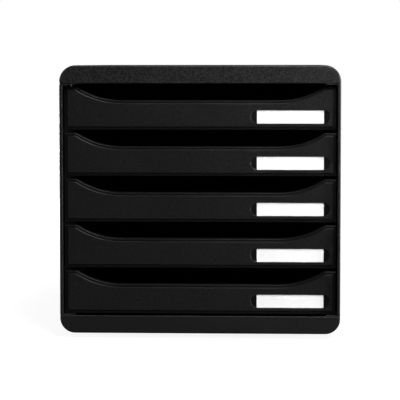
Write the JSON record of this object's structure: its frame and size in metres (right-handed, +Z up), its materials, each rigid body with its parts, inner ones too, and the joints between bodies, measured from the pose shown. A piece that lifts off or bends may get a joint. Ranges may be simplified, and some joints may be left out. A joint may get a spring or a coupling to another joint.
{
  "type": "desktop drawer unit",
  "caption": "Black plastic desktop drawer unit: a low case with rounded caps and a stack of paper drawers with scooped fronts, each with a white label card at the right.",
  "frame": {"origin": "on the table under the middle of the case, with every drawer shut", "axes": "+X to the right as seen from the front, +Y from the drawer fronts towards the back, +Z up"},
  "size_m": [0.278, 0.347, 0.271],
  "materials": {
    "case_plastic": "black polystyrene with a fine moulded grain",
    "drawer_plastic": "black polystyrene, satin with a fine moulded grain",
    "foot_rubber": "black non-slip rubber",
    "label_card": "plain white card",
    "label_window": "clear flexible strip"
  },
  "bodies": {
    "casing": {"top_cap": "case_plastic", "base_cap": "case_plastic", "left_side_panel": "case_plastic", "right_side_panel": "case_plastic", "rear_panel": "case_plastic", "foot_front_left": "foot_rubber", "foot_front_right": "foot_rubber", "foot_rear_left": "foot_rubber", "foot_rear_right": "foot_rubber"},
    "drawer_body_1": {"drawer_1": "drawer_plastic", "label_card_1": "label_card", "label_window_1": "label_window"},
    "drawer_body_2": {"drawer_2": "drawer_plastic", "label_card_2": "label_card", "label_window_2": "label_window"},
    "drawer_body_3": {"drawer_3": "drawer_plastic", "label_card_3": "label_card", "label_window_3": "label_window"},
    "drawer_body_4": {"drawer_4": "drawer_plastic", "label_card_4": "label_card", "label_window_4": "label_window"},
    "drawer_body_5": {"drawer_5": "drawer_plastic", "label_card_5": "label_card", "label_window_5": "label_window"}
  },
  "joints": [
    {"name": "drawer_slide_1", "type": "slide", "parent": "casing", "child": "drawer_body_1", "axis": [0, -1, 0], "range_m": [0, 0.26]},
    {"name": "drawer_slide_2", "type": "slide", "parent": "casing", "child": "drawer_body_2", "axis": [0, -1, 0], "range_m": [0, 0.26]},
    {"name": "drawer_slide_3", "type": "slide", "parent": "casing", "child": "drawer_body_3", "axis": [0, -1, 0], "range_m": [0, 0.26]},
    {"name": "drawer_slide_4", "type": "slide", "parent": "casing", "child": "drawer_body_4", "axis": [0, -1, 0], "range_m": [0, 0.26]},
    {"name": "drawer_slide_5", "type": "slide", "parent": "casing", "child": "drawer_body_5", "axis": [0, -1, 0], "range_m": [0, 0.26]}
  ]
}
